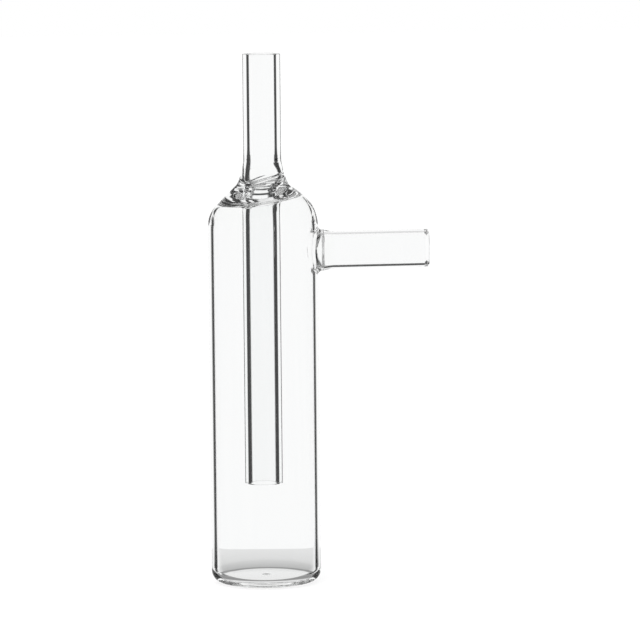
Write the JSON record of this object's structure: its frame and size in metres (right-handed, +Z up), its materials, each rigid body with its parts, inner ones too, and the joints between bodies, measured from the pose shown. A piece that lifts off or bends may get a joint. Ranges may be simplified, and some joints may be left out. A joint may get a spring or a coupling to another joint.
{
  "type": "glass bubbler tube",
  "caption": "Clear glass bubbler: flat-based cylindrical vessel with a drawn-in shoulder, a ring-sealed inlet stem that runs on inside as a dip tube, and a side arm outlet.",
  "frame": {"origin": "centre of the flat base, on the vessel's axis", "axes": "+Z up the vessel's axis to the stem's rim, +X along the side arm away from the vessel"},
  "size_m": [0.0589, 0.0296, 0.141],
  "materials": {
    "tubing_glass": "clear drawn tubing, polished",
    "worked_glass": "clear flame-worked glass, slightly rippled"
  },
  "bodies": {
    "root": {"base": "worked_glass", "body_tube": "tubing_glass", "shoulder": "worked_glass", "ring_seal": "worked_glass", "inlet_stem": "tubing_glass", "dip_tube": "tubing_glass", "side_arm_seal": "worked_glass", "side_arm": "tubing_glass"}
  },
  "joints": []
}
